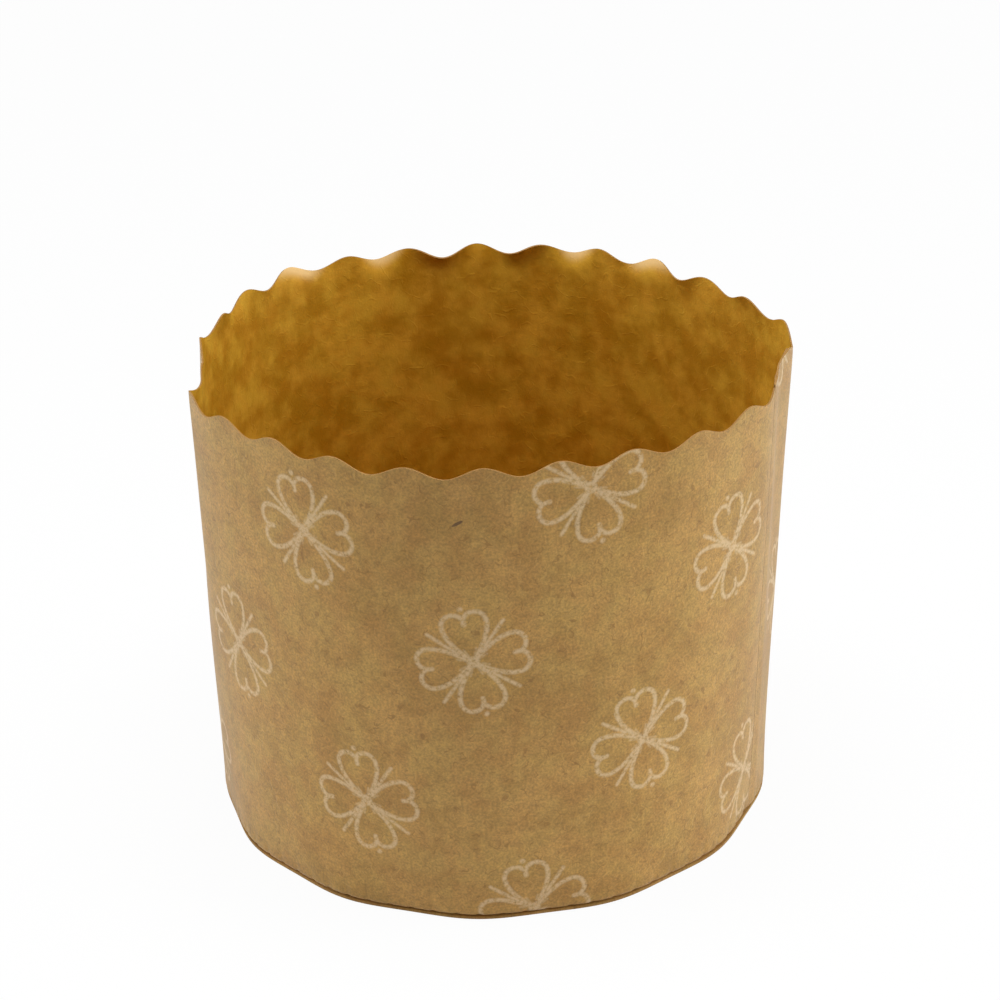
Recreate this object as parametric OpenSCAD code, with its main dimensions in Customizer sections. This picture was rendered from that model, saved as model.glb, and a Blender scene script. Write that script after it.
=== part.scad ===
// Paper mold for a small tall cake: one strip of paper rolled into a slightly
// flared wall with a scalloped rim. A plain tab at one end laps over the other end
// and is glued, and the strip's lower edge is crimped and folded inwards onto a
// card disc, which is the base.
// Origin: centre of the base's underside, on the table.

/* [Cup] */
// Mean diameter of the base, outside the wall
base_d = 70; // [50:0.1:120]
// Mean diameter of the rim, outside the wall
rim_d = 71.9; // [52:0.1:130]
// Height of the scallop tips above the table
height = 60; // [30:0.5:110]
// Thickness of the wall paper
paper_t = 0.2; // [0.15:0.05:0.4]

/* [Scalloped rim] */
// Number of scallops round the rim
scallops = 26; // [16:2:40]
// Depth of a scallop, from tip to trough
scallop_depth = 1.3; // [0.6:0.1:3]
// How far the tips at the back lean in or out
tip_lean = 0.35; // [0:0.05:0.8]
// Height over which the tips lean
tip_bend_h = 2.8; // [1.5:0.1:6]

/* [Springy shape of the rim] */
// How far the rim's three lobes stand out
lobe_out = 0.85; // [0:0.05:2.5]
// Direction of the first lobe, in degrees from the right
lobe_at = -11; // [-60:0.5:60]
// How far the rim is out of round as an oval
oval_out = 0.85; // [0:0.05:1.5]
// Direction of the oval's long axis
oval_at = -26.5; // [-90:0.5:90]
// How far the rim's five small swells stand out
swell_out = 0.3; // [0:0.05:0.6]
// Direction of the first swell
swell_at = -16.5; // [-36:0.5:36]
// How far the rim's six small ripples stand out
ripple_out = 0.45; // [0:0.05:0.6]
// Direction of the first ripple
ripple_at = 12; // [-30:0.5:30]
// How far the rim rises on two opposite sides
sway = 0.7; // [0:0.05:1.5]
// Direction of one of the two risen sides
sway_at = 30.5; // [-90:0.5:90]
// How far the rim is dented on the left
dent_in = 2.5; // [0:0.1:3]
// Direction of the dent's steep side
dent_at = -169.5; // [-175:0.5:-120]

/* [Lap seam] */
// Direction of the tab's free edge, in degrees from the right
seam_at = -23.5; // [-90:0.5:40]
// Width of the tab, which has no scallops
lap_w = 10.3; // [5:0.1:14]
// Glue between the two layers
glue_t = 0.03; // [0.02:0.01:0.1]
// How much flatter than the round wall the stiff lap is
lap_flat = 1; // [0:0.1:1.5]

/* [Folded lower edge] */
// Width of the fold on the base
fold_w = 8; // [5:0.5:12]
// Outer radius of the fold
fold_r = 0.7; // [0.4:0.1:1.2]
// Depth of the crease beside each crimped pleat
crease_depth = 0.2; // [0.05:0.05:0.25]
// How far the base's soft corners stand out, one to every second scallop
corner_out = 0.25; // [0:0.05:0.4]
// Height at which the wall over a corner is round again
corner_h = 12; // [4:1:25]
// Direction of the corner in front
corner_at = -94.5; // [-110:0.5:-80]

/* [Base disc] */
// Thickness of the base disc
disc_t = 0.35; // [0.2:0.05:1]
// How far the disc's edge lies inside the wall's outer face
disc_inset = 0.1; // [0:0.05:1]

/* [Hidden] */

paper_colour = [0.69, 0.57, 0.37];
card_colour = [0.60, 0.44, 0.20];

base_r = base_d / 2;
rim_r = rim_d / 2;
layer_t = paper_t + glue_t;
fold_t = paper_t + layer_t;
inner_fold_r = 0.25;
scallop_pitch = 2 * PI * rim_r / scallops;
base_corners = scallops / 2;

// Angle of strip: once round, and the lap
lap_angle = lap_w / rim_r * 180 / PI;
strip_angle = 360 + lap_angle;
// The last part of the strip moves inwards over this angle, to pass under the tab
tuck_angle = 34;
// The flat of the lap: its middle, as a share of the lap, and half its width
flat_mid = 0.6;
flat_half = 8.2;
// The dent: where it starts and is full before its direction, and its end past it
dent_start = 24;
dent_full = 4;
dent_end = 9;

// The tips lean in two waves: how many round the rim, and the direction of a crest
lean_waves = [18, 5];
lean_at = [129, 60];

// Points along the strip: five to a pleat, and two pleats to a scallop
cols_per_pleat = 5;
pleats_per_scallop = 2;
cols = round(scallops * strip_angle / 360 * pleats_per_scallop * cols_per_pleat);
col_angle = strip_angle / cols;
// Points round the base disc for each of its corners
points_per_corner = 14;

// Heights of the wall's middle rows, as shares of the rim's height
wall_rows = [0.8, 0.52, 0.14];

// 0 before a stretch, 1 after it, and a soft step between
function ease(x) = let (t = min(max(x, 0), 1)) t * t * (3 - 2 * t);

// Angle from direction b to direction a, at most half a turn either way
function apart(a, b) = let (c = (a - b) % 360) c > 180 ? c - 360 : c < -180 ? c + 360 : c;

// Radius of the rim at angle a
function rim_out(a) = rim_r
    + lobe_out * cos(3 * (a - lobe_at))
    + oval_out * cos(2 * (a - oval_at))
    + swell_out * cos(5 * (a - swell_at))
    + ripple_out * cos(6 * (a - ripple_at));

// Length along the rim from angle 0 to angle a
function rim_length(a) = rim_r * a * PI / 180
    + lobe_out / 3 * sin(3 * (a - lobe_at))
    + oval_out / 2 * sin(2 * (a - oval_at))
    + swell_out / 5 * sin(5 * (a - swell_at))
    + ripple_out / 6 * sin(6 * (a - ripple_at));

// Length of strip at angle a past the tab, where the scallops are
function past_tab(a) = max(0, rim_length(a) - rim_length(seam_at) - lap_w);

// Height of the cut edge at angle a of the strip
function rim_z(a) = height
    + sway * (cos(2 * (a - sway_at)) - 1) / 2
    - scallop_depth / 2 * (1 - cos(360 * past_tab(a) / scallop_pitch));

// Lean of the tips at angle a: every tip its own way at the back, none in front
function lean(a) = tip_lean * (1 + sin(a)) / 2
    * (0.7 * cos(lean_waves[0] * (a - lean_at[0])) + 0.3 * cos(lean_waves[1] * (a - lean_at[1])));

// How far the wall is dented inwards at angle a
function dent(a) = let (w = apart(a, dent_at))
    dent_in * ease((w + dent_start) / (dent_start - dent_full)) * (1 - ease(w / dent_end));

// How far the wall lies inside the round at the flat lap, and outside it on either side
function flat(a) = let (w = apart(a, seam_at + lap_angle * flat_mid) / flat_half, ww = w * w)
    lap_flat * (1 - ww) * exp(-ww / 2);

// How far the base stands out of round at angle a
function corner(a) = corner_out * cos(base_corners * (a - corner_at));

// How far the end of the strip lies inside its start at strip angle u
function tuck(u) = layer_t * ease((u - 360 + tuck_angle) / tuck_angle);

// Outer radius of the wall at strip angle u and height z
function wall_r(u, z) = let (a = seam_at + u, h = z / height)
    base_r + (rim_out(a) - base_r) * h
    + corner(a) * pow(max(0, 1 - z / corner_h), 2)
    + lean(a) * pow(max(0, 1 - (rim_z(a) - z) / tip_bend_h), 2)
    - dent(a) * pow(h, 3) - flat(a) * h - tuck(u);

// Depth of the crease at column i: full beside a pleat, then easing out
function crease(i) = crease_depth * max(0, 1 - (i % cols_per_pleat) / 3);

// Whether strip angle u lies in the outer or the inner layer of the lap
function in_outer_lap(u) = u < lap_angle + 1.5 * col_angle;
function in_inner_lap(u) = u > 360 - 1.5 * col_angle;

// Outer face of the strip at column i, from the rim down and inwards, as [radius, height]
function outer_face(i) = let (
    u = i * col_angle,
    top = rim_z(seam_at + u),
    floor_z = disc_t + (in_inner_lap(u) ? layer_t : 0),
    foot = wall_r(u, 0)
) [
    for (z = [top, top - tip_bend_h * 0.4, top - tip_bend_h, each top * wall_rows, floor_z + fold_r])
        [wall_r(u, z), z],
    [foot - fold_r * 0.29 - crease(i) / 2, floor_z + fold_r * 0.29],
    [foot - fold_r, floor_z],
    [base_r - fold_w, floor_z]
];

// Inner face of the strip at column i, row for row with the outer face
function inner_face(i) = let (
    u = i * col_angle,
    top = rim_z(seam_at + u),
    deck_z = disc_t + (in_outer_lap(u) ? paper_t : fold_t),
    valley = in_inner_lap(u) || in_outer_lap(u) ? 0 : crease(i),
    foot = wall_r(u, 0) - paper_t
) [
    for (z = [top, top - tip_bend_h * 0.4, top - tip_bend_h, each top * wall_rows, deck_z + inner_fold_r])
        [wall_r(u, z) - paper_t, z],
    [foot - inner_fold_r * 0.29, deck_z + inner_fold_r * 0.29 - valley * 0.2],
    [foot - inner_fold_r, deck_z - valley * 0.4],
    [base_r - fold_w, deck_z - valley]
];

// The points of a face at column i, turned to their place round the cup
function placed(face, i) = let (a = seam_at + i * col_angle)
    [for (p = face) [p[0] * cos(a), p[0] * sin(a), p[1]]];

// A four-sided patch as two triangles
function patch(a, b, c, d) = [[a, b, c], [a, c, d]];

module side_wall() {
    rows = len(wall_rows) + 7;
    last = rows - 1;
    outer = [for (i = [0:cols]) each placed(outer_face(i), i)];
    inner = [for (i = [0:cols]) each placed(inner_face(i), i)];
    // Numbers of the outer and the inner point at column i and row j
    o = function (i, j) i * rows + j;
    n = function (i, j) (cols + 1 + i) * rows + j;
    color(paper_colour)
        polyhedron(points = concat(outer, inner), faces = [
            for (i = [0:cols - 1], j = [0:last - 1]) each concat(
                patch(o(i, j), o(i + 1, j), o(i + 1, j + 1), o(i, j + 1)),
                patch(n(i, j), n(i, j + 1), n(i + 1, j + 1), n(i + 1, j))),
            for (i = [0:cols - 1]) each concat(
                patch(o(i, 0), n(i, 0), n(i + 1, 0), o(i + 1, 0)),
                patch(o(i, last), o(i + 1, last), n(i + 1, last), n(i, last))),
            for (j = [0:last - 1]) each concat(
                patch(o(0, j), o(0, j + 1), n(0, j + 1), n(0, j)),
                patch(o(cols, j), n(cols, j), n(cols, j + 1), o(cols, j + 1)))
        ], convexity = 8);
}

module base_disc() {
    points = base_corners * points_per_corner;
    color(card_colour)
        linear_extrude(disc_t)
            polygon([
                for (i = [0:points - 1]) let (a = i * 360 / points, r = base_r - disc_inset + corner(a))
                    [r * cos(a), r * sin(a)]
            ]);
}

side_wall();
base_disc();
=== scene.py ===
"""A paper mold for a small tall cake: its kraft paper wall with a scalloped rim, and its card base."""
import math
import random

import bmesh
import bpy
from bpy.props import FloatProperty, FloatVectorProperty, IntProperty, PointerProperty
from bpy.types import Operator, Panel, PropertyGroup
from mathutils import Matrix, Vector


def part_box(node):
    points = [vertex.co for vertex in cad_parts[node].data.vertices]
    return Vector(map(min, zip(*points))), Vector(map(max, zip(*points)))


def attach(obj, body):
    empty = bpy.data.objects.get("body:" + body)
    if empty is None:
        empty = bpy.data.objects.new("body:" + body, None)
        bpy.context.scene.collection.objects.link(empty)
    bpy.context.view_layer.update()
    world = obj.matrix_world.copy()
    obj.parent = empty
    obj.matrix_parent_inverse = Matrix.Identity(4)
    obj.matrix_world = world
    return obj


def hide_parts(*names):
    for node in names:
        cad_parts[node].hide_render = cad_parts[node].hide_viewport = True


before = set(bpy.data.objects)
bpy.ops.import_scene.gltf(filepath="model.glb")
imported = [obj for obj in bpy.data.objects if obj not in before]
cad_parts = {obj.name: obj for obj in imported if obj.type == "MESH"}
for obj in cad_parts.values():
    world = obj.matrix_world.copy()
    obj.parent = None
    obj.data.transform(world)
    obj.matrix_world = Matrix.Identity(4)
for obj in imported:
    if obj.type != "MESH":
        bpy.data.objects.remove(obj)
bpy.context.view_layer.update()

bl_info = {
    "name": "Paper Cake Mold",
    "version": (1, 0, 0),
    "blender": (4, 5, 0),
    "location": "3D View > Sidebar > Mold",
    "description": "Makes a kraft paper cake mold with a scalloped rim, and a plain studio for it",
    "category": "Add Mesh",
}

DISC_LOW, DISC_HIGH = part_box("base_disc")
MM = 0.001
FRAME_PX = 1000
WHITE = (1.0, 1.0, 1.0, 1.0)


def srgb(red, green, blue):
    """A colour as a screen shows it, 0 to 255, in linear light."""
    def linear(c):
        return c / 12.92 if c <= 0.04045 else ((c + 0.055) / 1.055) ** 2.4
    return tuple(linear(c / 255) for c in (red, green, blue))


def rgba(values):
    """A colour with its alpha."""
    return (*values, 1.0)


def sin_deg(angle):
    return math.sin(math.radians(angle))


def cos_deg(angle):
    return math.cos(math.radians(angle))


def ease(x):
    """0 before a stretch, 1 after it, and a soft step between."""
    x = min(max(x, 0.0), 1.0)
    return x * x * (3 - 2 * x)


def apart(a, b):
    """Angle from direction b to direction a, at most half a turn either way."""
    return (a - b + 180) % 360 - 180


def number(name, description, default, **limits):
    """A setting that is a plain number."""
    return FloatProperty(name=name, description=description, default=default, **limits)


def length(name, description, default, **limits):
    """A size in metres, given here in millimetres."""
    return number(name, description, default * MM, unit="LENGTH", precision=5, **limits)


def degrees(name, description, default):
    """A direction in degrees."""
    return number(name, description, default, min=-360, max=360)


def colour(name, description, default):
    """A colour, given as a screen shows it."""
    return FloatVectorProperty(
        name=name, description=description, default=srgb(*default), size=3, min=0, max=1, subtype="COLOR")


class MoldSizes(PropertyGroup):
    """The mold's shape."""
    base_d: length("Base Diameter", "Mean diameter of the base, outside the wall", 70.0, min=0.03)
    rim_d: length("Rim Diameter", "Mean diameter of the rim, outside the wall", 71.9, min=0.03)
    height: length("Height", "Height of the scallop tips above the table", 60.0, min=0.02)
    paper_t: length("Paper", "Thickness of the wall paper", 0.2, min=0.0001)
    scallops: IntProperty(name="Scallops", description="Number of scallops round the rim", default=26, min=3)
    scallop_depth: length("Scallop Depth", "Depth of a scallop, from tip to trough", 1.3, min=0)
    tip_lean: length("Tip Lean", "How far the tips at the back lean in or out", 0.35)
    tip_bend_h: length("Tip Bend", "Height over which the tips lean", 2.8)
    tip_curl: length("Tip Curl", "How far single tips at the back curl over", 0.42)
    lobe_out: length("Lobes", "How far the rim's three lobes stand out", 0.85)
    lobe_at: degrees("Lobe Direction", "Direction of the first lobe", -11.0)
    oval_out: length("Oval", "How far the rim is out of round as an oval", 0.85)
    oval_at: degrees("Oval Direction", "Direction of the oval's long axis", -26.5)
    swell_out: length("Swells", "How far the rim's five swells stand out", 0.3)
    swell_at: degrees("Swell Direction", "Direction of the first swell", -16.5)
    ripple_out: length("Ripples", "How far the rim's six ripples stand out", 0.45)
    ripple_at: degrees("Ripple Direction", "Direction of the first ripple", 12.0)
    sway: length("Sway", "How far the rim rises on two opposite sides", 0.7)
    sway_at: degrees("Sway Direction", "Direction of one of the two risen sides", 30.5)
    dent_in: length("Dent", "How far the rim is dented on the left", 2.5)
    dent_at: degrees("Dent Direction", "Direction of the dent's steep side", -169.5)
    seam_at: degrees("Seam", "Direction of the tab's free edge", -23.5)
    lap_w: length("Tab", "Width of the tab, which has no scallops", 10.3)
    glue_t: length("Glue", "Glue between the two layers of the lap", 0.03)
    lap_flat: length("Flat Lap", "How much flatter than the round wall the stiff lap is", 1.0)
    lap_bulge: length("Lap Bulge", "How far the rim bulges beside the lap", 0.35)
    edge_press: length("Edge Press", "How far the tab's free edge is pressed into the layer under it", 0.21)
    fold_w: length("Fold", "Width of the fold on the base", 8.0)
    fold_r: length("Fold Radius", "Outer radius of the fold", 0.7)
    corner_out: length("Corners", "How far the base's soft corners stand out", 0.25)
    corner_h: length("Corner Height", "Height where the wall over a corner is round again", 12.0, min=0.001)
    corner_at: degrees("Corner Direction", "Direction of the corner in front", -94.5)
    disc_inset: length("Disc Inset", "How far the disc's edge lies inside the wall's outer face", 0.1)
    cockle: length("Cockle", "Height of the paper's soft unevenness", 0.06)
    pleats: IntProperty(name="Pleats", description="Crimped pleats to a scallop", default=3, min=1, max=6)


class PrintSizes(PropertyGroup):
    """The faint clovers printed on the outside, and the dark fleck in the paper there."""
    spacing: length("Spacing", "Distance between the clovers' centres", 24.6, min=0.01)
    rows_at: degrees("Rows", "Slope of the clovers' rows", -34.6)
    tilt: degrees("Tilt", "How far each clover is turned", 11.0)
    centre_at: degrees("Centre Direction", "Direction of the clover in front", -93.3)
    centre_h: length("Centre Height", "Height of the clover in front", 35.25)
    bow: number("Bow", "How much the rows curve, in mm for each mm squared", 0.0008)
    line_w: length("Line", "Width of the printed line", 0.54)
    strength: number("Strength", "How strongly the ink covers", 0.74, min=0, max=1)
    fleck_at: degrees("Fleck Direction", "Direction of the dark fleck", -95.3)
    fleck_h: length("Fleck Height", "Height of the dark fleck", 52.9)


class PaperColours(PropertyGroup):
    """The paper's and the ink's colours; the inside colours and the tip colour hold painted light."""
    outside: colour("Outside", "Pale patches of the wall's outside", (198, 152, 76))
    outside_deep: colour("Outside, Deep", "Deeper patches of the wall's outside", (181, 134, 60))
    # Partly painted light: the patches are the paper's own, but the wall is one sheet, and the inside's
    # deeper, more saturated brown stands in for light shining through the thin paper and bouncing round the
    # cup.
    inside: colour("Inside", "Pale patches of the wall's inside", (198, 148, 40))
    inside_deep: colour("Inside, Deep", "Deeper patches of the wall's inside", (166, 114, 6))
    # Painted highlight: the pale inside of the curled tips stands in for the light they catch.
    tip: colour("Tip", "Inside of the tips that curl over", (214, 178, 122))
    edge: colour("Edge", "Cut edge of the paper", (154, 116, 68))
    ink: colour("Ink", "Print on the outside", (238, 206, 160))
    fleck: colour("Fleck", "Dark fleck in the paper", (78, 44, 4))
    card: colour("Card", "Pale patches of the base disc", (188, 144, 80))
    card_deep: colour("Card, Deep", "Deeper patches of the base disc", (168, 124, 62))


class StudioSettings(PropertyGroup):
    """The camera, the lamps and the floor."""
    distance: length("Distance", "From the camera to the mold's middle", 334.64)
    focus_h: length("Aim Height", "Height of the mold's middle, which the camera aims beside", 30.0)
    elevation: degrees("Elevation", "How steeply the camera looks down", 27.24)
    roll: degrees("Roll", "How far the camera leans", -1.93)
    focal_px: number("Focal Length", "In pixels of a square picture", 2645.5)
    aim_x: number("Aim X", "Where the middle appears, from the left in pixels", 487.87)
    aim_y: number("Aim Y", "Where the middle appears, from the top in pixels", 561.22)
    ambient: number("Ambient", "Light from all round", 0.27, min=0)
    right_lamp: number("Right Lamp", "Power of the right lamp in watts", 4.05, min=0)
    left_lamp: number("Left Lamp", "Power of the left lamp in watts", 2.75, min=0)
    lamp_tint: FloatVectorProperty(
        name="Lamp Tint", description="Colour of the side lamps", default=(0.93, 1.0, 1.0),
        size=3, min=0, max=1, subtype="COLOR")
    top_lamp: number("Top Lamp", "Power of the lamp overhead in watts", 0.25, min=0)
    floor: colour("Floor", "Floor, as it lights the mold", (243, 243, 241))
    shown: number("Floor Shown", "How bright the camera sees the floor", 0.96, min=0, max=1)


class Value:
    """A number in a material's node tree. Sums and products of values add the nodes that work them out."""

    def __init__(self, graph, socket):
        self.graph = graph
        self.socket = socket

    def __add__(self, other):
        return self.graph.maths("ADD", self, other)

    def __radd__(self, other):
        return self.graph.maths("ADD", other, self)

    def __sub__(self, other):
        return self.graph.maths("SUBTRACT", self, other)

    def __rsub__(self, other):
        return self.graph.maths("SUBTRACT", other, self)

    def __mul__(self, other):
        return self.graph.maths("MULTIPLY", self, other)

    def __truediv__(self, other):
        return self.graph.maths("DIVIDE", self, other)

    def __pow__(self, other):
        return self.graph.maths("POWER", self, other)

    def __abs__(self):
        return self.graph.maths("ABSOLUTE", self)


class Graph:
    """The nodes of a new material or world."""

    def __init__(self, owner):
        self.owner = owner
        owner.use_nodes = True
        self.tree = owner.node_tree
        self.tree.nodes.clear()

    def node(self, kind, settings=None, inputs=None, output=0):
        """Adds a node, sets its settings and then its sockets, and gives one of its outputs."""
        made = self.tree.nodes.new(kind)
        for name, value in (settings or {}).items():
            setattr(made, name, value)
        for key, value in (inputs or {}).items():
            if isinstance(value, Value):
                self.tree.links.new(value.socket, made.inputs[key])
            else:
                made.inputs[key].default_value = value
        return Value(self, made.outputs[output]) if made.outputs else made

    def maths(self, operation, *values):
        """One Math node."""
        return self.node("ShaderNodeMath", {"operation": operation}, dict(enumerate(values)))

    def part(self, vector, axis):
        """The X or Y of a vector."""
        return self.node("ShaderNodeSeparateXYZ", None, {0: vector}, axis)

    def uv(self, name):
        """A UV map of the piece."""
        return self.node("ShaderNodeUVMap", {"uv_map": name})

    def step(self, value, start, end):
        """0 where value is at start, 1 where it is at end, and soft between."""
        return self.node("ShaderNodeMapRange", {"interpolation_type": "SMOOTHSTEP"},
                         {"Value": value, "From Min": start, "From Max": end})

    def noise(self, where, size, detail=2.0, roughness=0.55, seed=0.0):
        """Soft noise, 0 to 1, whose features measure size in metres."""
        offset = (seed, seed * 0.7, 0.0)
        moved = self.node("ShaderNodeVectorMath", {"operation": "ADD"}, {0: where, 1: offset})
        return self.node("ShaderNodeTexNoise", {"noise_dimensions": "2D"},
                         {"Vector": moved, "Scale": 1 / size, "Detail": detail, "Roughness": roughness})

    def mix(self, factor, first, second):
        """A colour between two."""
        return self.node("ShaderNodeMix", {"data_type": "RGBA"}, {0: factor, 6: first, 7: second}, 2)

    def tint(self, base, factor):
        """A colour made lighter or darker."""
        return self.node("ShaderNodeVectorMath", {"operation": "SCALE"}, {0: base, "Scale": factor})

    def hairs(self, where, size, width, seed, share):
        """Thin curly fibres: where noise crosses its middle, in patches on about this share of the sheet."""
        line = self.step(abs(self.noise(where, size, 1.0, 0.4, seed) - 0.5), width, width * 0.3)
        patches = self.noise(where, size * 0.7, 0.0, 0.5, seed + 3.0)
        return line * self.step(patches, 1 - share, 1.06 - share)

    def finish(self, base, roughness, gloss, sheen, height):
        """Ends a material in a paper shader with this colour, gloss and sheen, and a faint relief."""
        normal = self.node("ShaderNodeBump", None, {"Strength": 1.0, "Distance": 0.05 * MM, "Height": height})
        shader = self.node("ShaderNodeBsdfPrincipled", None, {
            "Base Color": base, "Roughness": roughness, "Normal": normal, "Specular IOR Level": gloss,
            "Sheen Weight": sheen, "Sheen Roughness": 0.4})
        self.node("ShaderNodeOutputMaterial", None, {"Surface": shader})
        return self.owner


def new_graph(name):
    """The nodes of a new material with this name."""
    return Graph(bpy.data.materials.new(name))


def paper_tone(graph, where, pale, deep, blotch, fibre, seed):
    """Kraft paper's colour and relief: pale and deep patches, blotches of a size, and this much fibre."""
    cloud, mottle_size, grain, hue_patch, light_hair, dark_hair = (
        size * MM for size in (12, 1.0, 0.3, 5, 2.6, 1.7))
    clouds = graph.noise(where, cloud, 2.0, 0.5, seed)
    blotches = graph.noise(where, blotch, 2.0, 0.5, seed + 1.0)
    mottle = graph.noise(where, mottle_size, 2.0, 0.6, seed + 3.0)
    grains = graph.noise(where, grain, 2.0, 0.6, seed + 2.0)
    share = graph.step(clouds * 0.4 + blotches * 0.5 + mottle * 0.1, 0.34, 0.66)
    tone = graph.mix(share, rgba(deep), rgba(pale))
    greener, redder = (0.985, 1.01, 0.98), (1.02, 0.985, 0.98)
    hue = graph.step(graph.noise(where, hue_patch, 2.0, 0.6, seed + 7.0), 0.35, 0.65)
    hue = graph.mix(hue, rgba(greener), rgba(redder))
    tone = graph.node("ShaderNodeVectorMath", {"operation": "MULTIPLY"}, {0: tone, 1: hue})
    tone = graph.tint(tone, 1.0 + (mottle - 0.5) * (0.3 * fibre) + (grains - 0.5) * (0.7 * fibre))
    light = graph.hairs(where, light_hair, 0.03, seed + 11.0, 0.5)
    dark = graph.hairs(where, dark_hair, 0.03, seed + 17.0, 0.4)
    red, green, blue = pale
    tone = graph.mix(light * (0.16 * fibre), tone, (red * 1.4, green * 1.45, blue * 1.6, 1.0))
    tone = graph.mix(dark * (0.42 * fibre), tone, (red * 0.5, green * 0.38, blue * 0.2, 1.0))
    height = grains * 0.5 + mottle * 0.5 + light * 0.35
    return tone, height


class Clover:
    """A printed clover's measures in millimetres, out along a leaf and across it."""
    LEAF_HALF_W, WIDEST_AT = 2.6, 5.05
    LOBE_R = 1.35
    NOTCH_AT, NOTCH_HALF = 5.3, 0.4
    STROKE_END = 6.3
    DOT_AT = 7.0
    RAY_END = 1.9
    HUB_R = 0.75
    SOFT_EDGE = 0.17
    OFF_SHEET_LOW, OFF_SHEET_HIGH, FADE = -2.0, 61.0, 2.0


def clover_place(graph, where, prints, centre):
    """Where a point lies in the clover nearest to it, in millimetres, and whether that clover is printed."""
    across = graph.part(where, "X") / MM - centre[0] / MM
    up = graph.part(where, "Y") / MM - centre[1] / MM
    up = up - across * across * prints.bow
    spacing = prints.spacing / MM
    row_x, row_y = cos_deg(prints.rows_at) / spacing, sin_deg(prints.rows_at) / spacing
    along = across * row_x + up * row_y
    beside = up * row_x - across * row_y
    along = (along - graph.maths("ROUND", along)) * spacing
    beside = (beside - graph.maths("ROUND", beside)) * spacing
    clover_h = up - (along * row_y + beside * row_x) * spacing + centre[1] / MM
    printed = (graph.step(clover_h, Clover.OFF_SHEET_LOW, Clover.OFF_SHEET_LOW + Clover.FADE)
               * graph.step(clover_h, Clover.OFF_SHEET_HIGH, Clover.OFF_SHEET_HIGH - Clover.FADE))
    turn_x, turn_y = cos_deg(prints.tilt - prints.rows_at), sin_deg(prints.tilt - prints.rows_at)
    return along * turn_x + beside * turn_y, beside * turn_x - along * turn_y, printed


def clover_mask(graph, where, prints, centre):
    """1 on the printed lines: clovers of four outlined hearts, with a stroke between each two hearts."""
    x, y, printed = clover_place(graph, where, prints, centre)
    radius = graph.maths("SQRT", x * x + y * y)
    upright = graph.step(abs(y) - abs(x), -0.05, 0.05)
    wedge = graph.maths("PINGPONG", graph.maths("ARCTAN2", y, x), math.pi / 4)
    out = radius * graph.maths("COSINE", wedge)
    side = radius * graph.maths("SINE", wedge)

    phase = out * (math.pi / 2 / Clover.WIDEST_AT)
    slope = graph.maths("COSINE", phase) * (Clover.LEAF_HALF_W * math.pi / 2 / Clover.WIDEST_AT)
    flank = abs(side - graph.maths("SINE", phase) * Clover.LEAF_HALF_W)
    flank = flank / graph.maths("SQRT", slope * slope + 1.0)
    lobe_side = Clover.LEAF_HALF_W - Clover.LOBE_R
    lobe = graph.maths("SQRT", (out - Clover.WIDEST_AT) ** 2.0 + (side - lobe_side) ** 2.0)
    lobe = abs(lobe - Clover.LOBE_R)
    beyond = graph.maths("GREATER_THAN", out, Clover.WIDEST_AT)
    heart = lobe * beyond + flank * (1.0 - beyond)
    notch_out = graph.maths("MAXIMUM", abs(out - Clover.NOTCH_AT) - Clover.NOTCH_HALF, 0.0)
    heart = graph.maths("MINIMUM", heart, graph.maths("SQRT", notch_out ** 2.0 + side * side))

    lean = math.pi / 4 - wedge
    past_end = graph.maths("MAXIMUM", radius * graph.maths("COSINE", lean) - Clover.STROKE_END, 0.0)
    stroke = graph.maths("SQRT", past_end ** 2.0 + (radius * graph.maths("SINE", lean)) ** 2.0)
    far_off = 9.0
    dot = graph.maths("SQRT", (out - Clover.DOT_AT) ** 2.0 + side * side) + (1.0 - upright) * far_off
    ray = abs(radius * graph.maths("SINE", wedge - math.pi / 8))
    ray = ray + graph.maths("MAXIMUM", radius - Clover.RAY_END, 0.0)

    def drawn(distance, width):
        return graph.step(distance, width + Clover.SOFT_EDGE, width - Clover.SOFT_EDGE)

    half = prints.line_w / MM / 2
    mask = graph.maths("MAXIMUM", drawn(heart, half), drawn(stroke, half * 0.8))
    mask = graph.maths("MAXIMUM", mask, drawn(dot, half * 1.15))
    mask = graph.maths("MAXIMUM", mask, drawn(ray, half * 0.4) * 0.7)
    return graph.maths("MAXIMUM", mask, drawn(radius, Clover.HUB_R)) * printed


def fleck_mask(graph, where, centre):
    """1 on a small slanted fleck."""
    half_l, half_w, slant = 0.75 * MM, 0.2 * MM, math.radians(28)
    spot = graph.node("ShaderNodeMapping", {"vector_type": "TEXTURE"}, {
        "Vector": where, "Location": (*centre, 0.0), "Rotation": (0, 0, slant),
        "Scale": (half_l, half_w, 1.0)})
    spot = graph.node("ShaderNodeVectorMath", {"operation": "LENGTH"}, {0: spot}, "Value")
    return graph.step(spot, 1.15, 0.75)


def outside_paper(colours, prints, strip):
    """The wall's outside: mottled kraft paper with a faint pale print and one dark fleck."""
    graph = new_graph("wall_outside")
    where = graph.uv("strip")
    tone, height = paper_tone(graph, where, colours.outside, colours.outside_deep, 3.5 * MM, 1.25, 0.0)
    wear = graph.step(graph.noise(where, 0.5 * MM, 3.0, 0.7, 31.0), 0.2, 0.6)
    ink = clover_mask(graph, where, prints, strip.on_sheet(prints.centre_at, prints.centre_h)) * wear
    tone = graph.mix(ink * prints.strength, tone, rgba(colours.ink))
    fleck = fleck_mask(graph, where, strip.on_sheet(prints.fleck_at, prints.fleck_h))
    tone = graph.mix(fleck * 0.8, tone, rgba(colours.fleck))
    return graph.finish(tone, 0.55, 0.6, 0.24, height)


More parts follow.
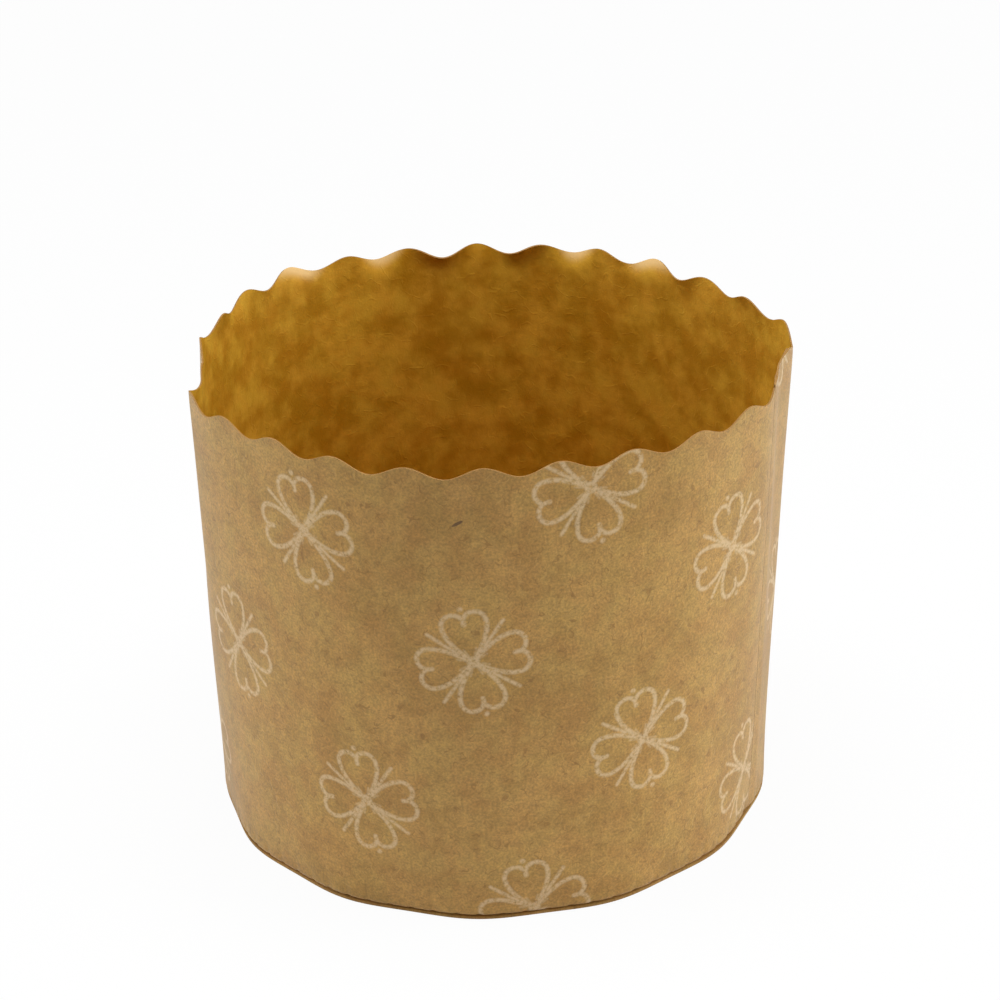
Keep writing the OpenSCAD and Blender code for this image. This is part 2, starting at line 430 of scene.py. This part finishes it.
def inside_paper(colours):
    """The wall's inside: plain and blotchy, in a deeper, more saturated brown that is painted light shining
    through the thin paper and bouncing round the cup, and paler where a tip curls over, a painted highlight.
    """
    graph = new_graph("wall_inside_painted_light")
    where = graph.uv("strip")
    # Painted light: the deeper, more saturated inside colours stand in for light shining through the paper
    # and bouncing round the cup; the patches are the paper's own.
    tone, height = paper_tone(graph, where, colours.inside, colours.inside_deep, 3.4 * MM, 0.28, 40.0)
    # Painted highlight: the inside of a curled tip is mixed towards the pale tip colour, standing in for the
    # light it catches.
    tip_highlight_amount = graph.step(graph.part(graph.uv("tips"), "X"), 0.25, 1.2)
    tone = graph.mix(tip_highlight_amount * 0.85, tone, rgba(colours.tip))
    return graph.finish(tone, 0.65, 0.2, 0.0, height)


def edge_paper(colours):
    """The paper's cut edge, with torn fibres."""
    graph = new_graph("wall_cut_edge")
    fibres = graph.noise(graph.uv("strip"), 0.25 * MM, 3.0, 0.7, 60.0)
    tone = graph.tint(tuple(colours.edge), 0.8 + fibres * 0.4)
    return graph.finish(tone, 0.9, 0.1, 0.0, fibres)


def base_card(colours):
    """The base disc: plain kraft card."""
    graph = new_graph("base_card")
    where = graph.node("ShaderNodeTexCoord", None, None, "Object")
    tone, height = paper_tone(graph, where, colours.card, colours.card_deep, 3.5 * MM, 1.0, 80.0)
    return graph.finish(tone, 0.7, 0.4, 0.0, height)


class Strip:
    """The rolled strip of paper: where each point of the flat sheet lies on the mold, in metres.

    Angles are in degrees. An angle u runs along the strip from the tab's free edge, and an angle a is a
    direction on the mold. The strip is longer than a turn by the lap, where it lies inside itself.
    """
    FLAT_MID, FLAT_HALF = 0.6, 8.2
    DENT_START, DENT_FULL, DENT_END = 24.0, 4.0, 9.0
    TUCK_ANGLE, PRESS_ANGLE, BULGE_ANGLE = 34.0, 4, 8
    TIP_WAVES, TIP_AT = 18, 129
    SLOW_WAVES, LEAN_AT, CURL_AT = 5, 60, 53
    CURL_H = 2.4 * MM
    COCKLES = ((1.0, 7, 0, 95), (1.0, 11, 40, -140), (0.7, 17, 200, 210))
    STEPS_PER_PLEAT = 8
    PLEAT_SHARE, BEND_SHARE = 0.75, 0.35
    PINCH, PINCH_AT, PINCH_HALF = 0.16 * MM, 0.06, 0.16
    FOLD_WAVE, FOLD_WAVES = 0.25 * MM, 5
    TIP_ROWS, WALL_ROWS, FOOT_ROWS, BEND_ROWS, FOLD_ROWS = 10, 18, 5, 6, 7
    TIP_H, FOOT_H = 5 * MM, 2.6 * MM

    def __init__(self, sizes):
        self.s = sizes
        self.base_r = sizes.base_d / 2
        self.rim_r = sizes.rim_d / 2
        self.layer_t = sizes.paper_t + sizes.glue_t
        self.pitch = math.tau * self.rim_r / sizes.scallops
        self.lap_angle = math.degrees(sizes.lap_w / self.rim_r)
        self.angle = 360 + self.lap_angle
        self.pleat_count = round(sizes.scallops * self.angle / 360 * sizes.pleats)
        self.cols = self.pleat_count * self.STEPS_PER_PLEAT
        self.upright_rows = self.TIP_ROWS + self.WALL_ROWS + self.FOOT_ROWS
        self.rows = self.upright_rows + self.BEND_ROWS + self.FOLD_ROWS
        draws = random.Random(7)
        self.pleat_rise = [draws.uniform(0.6, 1.0) for _ in range(self.pleat_count + 2)]
        self.pleat_skew = [draws.uniform(-0.9, 0.9) for _ in range(self.pleat_count + 2)]

    def rim_out(self, a):
        """The rim's outer radius, before its lap, its dent and its tips."""
        s = self.s
        return (self.rim_r + s.lobe_out * cos_deg(3 * (a - s.lobe_at))
                + s.oval_out * cos_deg(2 * (a - s.oval_at))
                + s.swell_out * cos_deg(5 * (a - s.swell_at))
                + s.ripple_out * cos_deg(6 * (a - s.ripple_at)))

    def rim_length(self, a):
        """Length along the rim from the tab's free edge to angle a."""
        s = self.s

        def from_zero(angle):
            return (self.rim_r * math.radians(angle) + s.lobe_out / 3 * sin_deg(3 * (angle - s.lobe_at))
                    + s.oval_out / 2 * sin_deg(2 * (angle - s.oval_at))
                    + s.swell_out / 5 * sin_deg(5 * (angle - s.swell_at))
                    + s.ripple_out / 6 * sin_deg(6 * (angle - s.ripple_at)))
        return from_zero(a) - from_zero(s.seam_at)

    def on_sheet(self, a, z):
        """Where the point at a direction in front and a height lies on the flat sheet."""
        return self.rim_length(a + 360), z

    def rim_z(self, a):
        """The height of the scalloped edge, which runs straight along the tab."""
        s = self.s
        scallops = max(0.0, self.rim_length(a) - s.lap_w) / self.pitch
        return (s.height + s.sway * (cos_deg(2 * (a - s.sway_at)) - 1) / 2
                - s.scallop_depth / 2 * (1 - math.cos(math.tau * scallops)))

    def lean(self, a):
        """How far the rim leans out at angle a: every tip its own way at the back, none in front."""
        waves = (0.7 * cos_deg(self.TIP_WAVES * (a - self.TIP_AT))
                 + 0.3 * cos_deg(self.SLOW_WAVES * (a - self.LEAN_AT)))
        return self.s.tip_lean * (1 + sin_deg(a)) / 2 * waves

    def curl(self, a, below):
        """How far the tip at angle a curls out, at a height below the cut edge."""
        waves = (0.2 + cos_deg(self.TIP_WAVES * (a - self.TIP_AT))
                 + 0.9 * cos_deg(self.SLOW_WAVES * (a - self.CURL_AT)))
        return self.s.tip_curl * max(0.0, sin_deg(a)) * waves * max(0.0, 1 - below / self.CURL_H) ** 2

    def dent(self, a):
        """How far the rim is pushed in: slowly towards the dent's steep side, and quickly after it."""
        w = apart(a, self.s.dent_at)
        return (self.s.dent_in * ease((w + self.DENT_START) / (self.DENT_START - self.DENT_FULL))
                * (1 - ease(w / self.DENT_END)))

    def flat(self, a):
        """How far the wall lies inside the round at the flat lap, and outside it on either side."""
        w = (apart(a, self.s.seam_at + self.lap_angle * self.FLAT_MID) / self.FLAT_HALF) ** 2
        return self.s.lap_flat * (1 - w) * math.exp(-w / 2)

    def corner(self, a):
        """How far the base stands out of round at angle a."""
        return self.s.corner_out * cos_deg(self.s.scallops / 2 * (a - self.s.corner_at))

    def tuck(self, u):
        """How far the strip's last stretch lies inside, where it runs in under the tab."""
        return self.layer_t * ease((u - 360 + self.TUCK_ANGLE) / self.TUCK_ANGLE)

    def cockle(self, a, z):
        """Soft unevenness of the sheet, gone at the foot."""
        waves = sum(size * math.sin(math.radians(turns * a + start) + rise * z)
                    for size, turns, start, rise in self.COCKLES)
        whole = sum(size for size, *_ in self.COCKLES)
        return self.s.cockle * waves / whole * min(z / self.s.height * 2, 1)

    def wall_r(self, u, z, top):
        """The wall's outer radius at an angle along the strip and a height."""
        s = self.s
        a = s.seam_at + u
        h = z / s.height
        return (self.base_r + (self.rim_out(a) - self.base_r) * h
                + self.corner(a) * max(0.0, 1 - z / s.corner_h) ** 2
                + self.lean(a) * max(0.0, 1 - (top - z) / s.tip_bend_h) ** 2 + self.curl(a, top - z)
                + s.lap_bulge * math.exp(-(apart(a, 0) / self.BULGE_ANGLE) ** 2) * h ** 3
                - self.dent(a) * h ** 3 - self.flat(a) * h - self.tuck(u)
                - s.edge_press * (1 - ease(u / self.PRESS_ANGLE)) + self.cockle(a, z))

    def wall_z(self, row, top, foot_z):
        """The height of a row of the wall: rows lie closer at the tips and at the foot."""
        low = foot_z + self.FOOT_H
        if row <= self.TIP_ROWS:
            return top - self.TIP_H * (row / self.TIP_ROWS) ** 1.4
        row -= self.TIP_ROWS
        if row <= self.WALL_ROWS:
            return top - self.TIP_H - (top - self.TIP_H - low) * row / self.WALL_ROWS
        return low - self.FOOT_H * (row - self.WALL_ROWS) / self.FOOT_ROWS

    def pleat(self, col):
        """The pleat at a column, how far across it the column lies, 0 to 1, and its rise, 0 to 1."""
        index, step = divmod(col, self.STEPS_PER_PLEAT)
        across = step / self.STEPS_PER_PLEAT
        return index, across, self.pleat_rise[index] * max(0.0, 1 - across / self.PLEAT_SHARE)

    def place(self, col, row):
        """The point at a column and row: its radius, height, height on the flat sheet, and direction."""
        s = self.s
        u = col * self.angle / self.cols
        a = s.seam_at + u
        top = self.rim_z(a)
        inner_lap = ease((u - 357) / 2)
        outer_lap = 1 - ease((u - self.lap_angle - 1) / 2)
        floor_z = DISC_HIGH[2] + inner_lap * self.layer_t
        foot_z = floor_z + s.fold_r
        index, across, rise = self.pleat(col)
        rise *= (1 - inner_lap) * (1 - outer_lap) * self.layer_t
        pinch = self.PINCH * max(0.0, 1 - abs(across - self.PINCH_AT) / self.PINCH_HALF)
        if row <= self.upright_rows:
            z = self.wall_z(row, top, foot_z)
            pinched = max(0.0, 1 - (z - foot_z) / self.FOOT_H) ** 2
            return self.wall_r(u, z, top) - pinch * pinched, z, z, a
        row -= self.upright_rows
        foot_r = self.wall_r(u, foot_z, top) - pinch
        if row <= self.BEND_ROWS:
            bend = row / self.BEND_ROWS
            turn = bend * math.pi / 2
            lift = rise * self.BEND_SHARE * bend ** 2
            return (foot_r - s.fold_r * (1 - math.cos(turn)), foot_z - s.fold_r * math.sin(turn) + lift,
                    foot_z - s.fold_r * turn, a)
        t = (row - self.BEND_ROWS) / self.FOLD_ROWS
        start_r = foot_r - s.fold_r
        end_r = self.base_r - s.fold_w + self.FOLD_WAVE * sin_deg(self.FOLD_WAVES * a)
        r = start_r + (end_r - start_r) * t
        skew = (self.pleat_skew[index] * (1 - across) + self.pleat_skew[index + 1] * across) * t
        lift = rise * (self.BEND_SHARE + (1 - self.BEND_SHARE) * min(1.0, t * 2))
        return r, floor_z + lift, foot_z - s.fold_r * math.pi / 2 - (start_r - r), a + skew


def add_piece(name, mesh, *materials):
    """A new object with this mesh at the origin."""
    for material in materials:
        mesh.materials.append(material)
    piece = bpy.data.objects.new(name, mesh)
    bpy.context.scene.collection.objects.link(piece)
    return piece


def smooth_mesh(form, name):
    """A mesh from a bmesh, with smooth faces."""
    for face in form.faces:
        face.smooth = True
    mesh = bpy.data.meshes.new(name)
    form.to_mesh(mesh)
    form.free()
    return mesh


class MOLD_OT_side_wall(Operator):
    """Makes the wall: a flat sheet that is rolled, lapped and folded under, and then gets its thickness"""
    bl_idname = "mold.side_wall"
    bl_label = "Side Wall"

    def execute(self, context):
        sizes = context.scene.mold_sizes
        prints = context.scene.mold_print
        colours = context.scene.mold_colours
        strip = Strip(sizes)
        form = bmesh.new()
        sheet = form.loops.layers.uv.new("strip")
        tips = form.loops.layers.uv.new("tips")
        bmesh.ops.create_grid(form, x_segments=strip.cols, y_segments=strip.rows, size=0.5)
        flat, tip_highlight_amount = {}, {}
        for vertex in form.verts:
            col = round((vertex.co.x + 0.5) * strip.cols)
            row = round((0.5 - vertex.co.y) * strip.rows)
            r, z, sheet_z, a = strip.place(col, row)
            start = sizes.seam_at + col * strip.angle / strip.cols
            flat[vertex] = (strip.rim_length(start), sheet_z)
            # How far each tip curls sets the painted highlight on its inside, through the tips map.
            tip_highlight_amount[vertex] = (strip.curl(start, (strip.rim_z(start) - sheet_z) * 0.8) / sizes.tip_curl, 0.0)
            vertex.co = (r * cos_deg(a), r * sin_deg(a), z)
        for face in form.faces:
            for loop in face.loops:
                loop[sheet].uv = flat[loop.vert]
                loop[tips].uv = tip_highlight_amount[loop.vert]
        for edge in form.edges:
            edge.smooth = not edge.is_boundary
        piece = add_piece("paper_wall", smooth_mesh(form, "paper_wall"),
                          outside_paper(colours, prints, strip), inside_paper(colours), edge_paper(colours))
        thickness = piece.modifiers.new("Paper Thickness", "SOLIDIFY")
        thickness.thickness = sizes.paper_t
        thickness.offset = -1.0
        thickness.material_offset = 1
        thickness.material_offset_rim = 2
        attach(piece, "root")
        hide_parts("side_wall")
        return {"FINISHED"}


class MOLD_OT_base_disc(Operator):
    """Makes the base: a flat card disc with soft corners and a softened cut edge"""
    bl_idname = "mold.base_disc"
    bl_label = "Base Disc"

    def execute(self, context):
        sizes = context.scene.mold_sizes
        colours = context.scene.mold_colours
        strip = Strip(sizes)
        radius = strip.base_r - sizes.disc_inset
        form = bmesh.new()
        bmesh.ops.create_circle(form, cap_ends=True, segments=sizes.scallops * 10, radius=radius)
        for vertex in form.verts:
            a = math.degrees(math.atan2(vertex.co.y, vertex.co.x))
            vertex.co *= 1 + strip.corner(a) / radius
        upper = bmesh.ops.extrude_face_region(form, geom=list(form.faces))
        upper = [item for item in upper["geom"] if isinstance(item, bmesh.types.BMVert)]
        bmesh.ops.translate(form, verts=upper, vec=(0, 0, DISC_HIGH[2] - DISC_LOW[2]))
        bmesh.ops.recalc_face_normals(form, faces=form.faces)
        rims = [edge for edge in form.edges if edge.calc_face_angle(0) > 1.0]
        worn = 0.06 * MM
        bmesh.ops.bevel(form, geom=rims, offset=worn, segments=2, profile=0.5, affect="EDGES", material=-1)
        piece = add_piece("card_base", smooth_mesh(form, "card_base"), base_card(colours))
        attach(piece, "root")
        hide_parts("base_disc")
        return {"FINISHED"}


def studio_surface(name, shade, shown):
    """A plain matt surface that the camera sees nearly white, with the shadows on it."""
    graph = new_graph(name)
    path = [graph.node("ShaderNodeLightPath", None, None, output)
            for output in ("Is Camera Ray", "Is Glossy Ray", "Is Transmission Ray")]
    seen = graph.maths("MINIMUM", path[0] + path[1] + path[2], 1.0)
    matt = graph.node("ShaderNodeBsdfDiffuse", None, {"Color": rgba(shade)})
    faint = graph.node("ShaderNodeBsdfDiffuse", None, {"Color": rgba([1 - shown] * 3)})
    glow = graph.node("ShaderNodeEmission", None, {"Color": WHITE, "Strength": shown})
    both = graph.node("ShaderNodeAddShader", None, {0: faint, 1: glow})
    shader = graph.node("ShaderNodeMixShader", None, {0: seen, 1: matt, 2: both})
    graph.node("ShaderNodeOutputMaterial", None, {"Surface": shader})
    return graph.owner


class MOLD_OT_studio(Operator):
    """Makes the camera, a pale floor, three soft lamps and an even light all round"""
    bl_idname = "mold.studio"
    bl_label = "Studio"

    def execute(self, context):
        studio = context.scene.mold_studio
        self.camera(context.scene, studio)
        self.world(context.scene, studio)
        self.floor(studio)
        side_lamp, top_lamp = 0.5, 0.07
        self.lamp("right_lamp", studio.right_lamp, studio.lamp_tint, (0.78, 0.0, 0.30), side_lamp)
        self.lamp("left_lamp", studio.left_lamp, studio.lamp_tint, (-0.77, 0.1, 0.30), side_lamp)
        self.lamp("top_lamp", studio.top_lamp, (1, 1, 1), (0.0, -0.01, 0.21), top_lamp)
        context.scene.view_settings.view_transform = "Standard"
        return {"FINISHED"}

    def camera(self, scene, studio):
        """Places the camera where the mold's middle appears at the aim point, at the given size."""
        data = bpy.data.cameras.new("camera")
        data.sensor_width = 36.0
        data.lens = studio.focal_px / FRAME_PX * data.sensor_width
        data.clip_start = 0.01
        forward = Vector((0, cos_deg(studio.elevation), -sin_deg(studio.elevation)))
        right = Vector((1, 0, 0))
        up = right.cross(forward)
        place = Vector((0, 0, studio.focus_h)) - forward * studio.distance
        turn = Matrix.Rotation(math.radians(studio.roll), 3, -forward)
        right, up = turn @ right, turn @ up
        yaw = math.atan((studio.aim_x - FRAME_PX / 2) / studio.focal_px)
        turn = Matrix.Rotation(yaw, 3, up)
        forward, right = turn @ forward, turn @ right
        pitch = math.atan((FRAME_PX / 2 - studio.aim_y) / studio.focal_px * math.cos(yaw))
        turn = Matrix.Rotation(-pitch, 3, right)
        forward, up = turn @ forward, turn @ up
        camera = bpy.data.objects.new("camera", data)
        axes = Matrix((right, up, -forward)).transposed().to_4x4()
        camera.matrix_world = Matrix.Translation(place) @ axes
        scene.collection.objects.link(camera)
        scene.camera = camera

    def world(self, scene, studio):
        """Even light all round, and white where the camera sees past the floor."""
        graph = Graph(bpy.data.worlds.new("studio"))
        seen = graph.node("ShaderNodeLightPath", None, None, "Is Camera Ray")
        light = graph.node("ShaderNodeBackground", None, {"Color": WHITE, "Strength": studio.ambient})
        white = graph.node("ShaderNodeBackground", None, {"Color": WHITE, "Strength": 1.0})
        shader = graph.node("ShaderNodeMixShader", None, {0: seen, 1: light, 2: white})
        graph.node("ShaderNodeOutputWorld", None, {"Surface": shader})
        scene.world = graph.owner

    def floor(self, studio):
        """A wide floor, a hair below the mold so that the two faces don't lie in one plane."""
        half_w, below = 3.0, 0.05 * MM
        form = bmesh.new()
        bmesh.ops.create_grid(form, x_segments=1, y_segments=1, size=half_w)
        paint = studio_surface("floor_paint", studio.floor, studio.shown)
        floor = add_piece("floor", smooth_mesh(form, "floor"), paint)
        floor.location.z = -below

    def lamp(self, name, power, tint, place, size):
        """A soft square lamp that faces the mold."""
        data = bpy.data.lights.new(name, "AREA")
        data.energy = power
        data.color = tint
        data.shape = "SQUARE"
        data.size = size
        lamp = bpy.data.objects.new(name, data)
        lamp.location = place
        aim = Vector((0, 0, 0.035)) - Vector(place)
        lamp.rotation_euler = aim.to_track_quat("-Z", "Y").to_euler()
        bpy.context.scene.collection.objects.link(lamp)


class MOLD_PT_sidebar(Panel):
    """Lists the pieces and their sizes"""
    bl_idname = "MOLD_PT_sidebar"
    bl_label = "Paper Cake Mold"
    bl_space_type = "VIEW_3D"
    bl_region_type = "UI"
    bl_category = "Mold"

    def draw(self, context):
        layout = self.layout
        for operator in (MOLD_OT_side_wall, MOLD_OT_base_disc, MOLD_OT_studio):
            layout.operator(operator.bl_idname)
        for name in GROUPS:
            group = getattr(context.scene, name)
            box = layout.box()
            for setting in group.__annotations__:
                box.prop(group, setting)


CLASSES = (MoldSizes, PrintSizes, PaperColours, StudioSettings,
           MOLD_OT_side_wall, MOLD_OT_base_disc, MOLD_OT_studio, MOLD_PT_sidebar)
GROUPS = {"mold_sizes": MoldSizes, "mold_print": PrintSizes, "mold_colours": PaperColours,
          "mold_studio": StudioSettings}


def register():
    for item in CLASSES:
        bpy.utils.register_class(item)
    for name, group in GROUPS.items():
        setattr(bpy.types.Scene, name, PointerProperty(type=group))


def unregister():
    for name in GROUPS:
        delattr(bpy.types.Scene, name)
    for item in reversed(CLASSES):
        bpy.utils.unregister_class(item)


def main():
    register()
    bpy.ops.mold.side_wall()
    bpy.ops.mold.base_disc()
    bpy.ops.mold.studio()


if __name__ == "__main__":
    main()
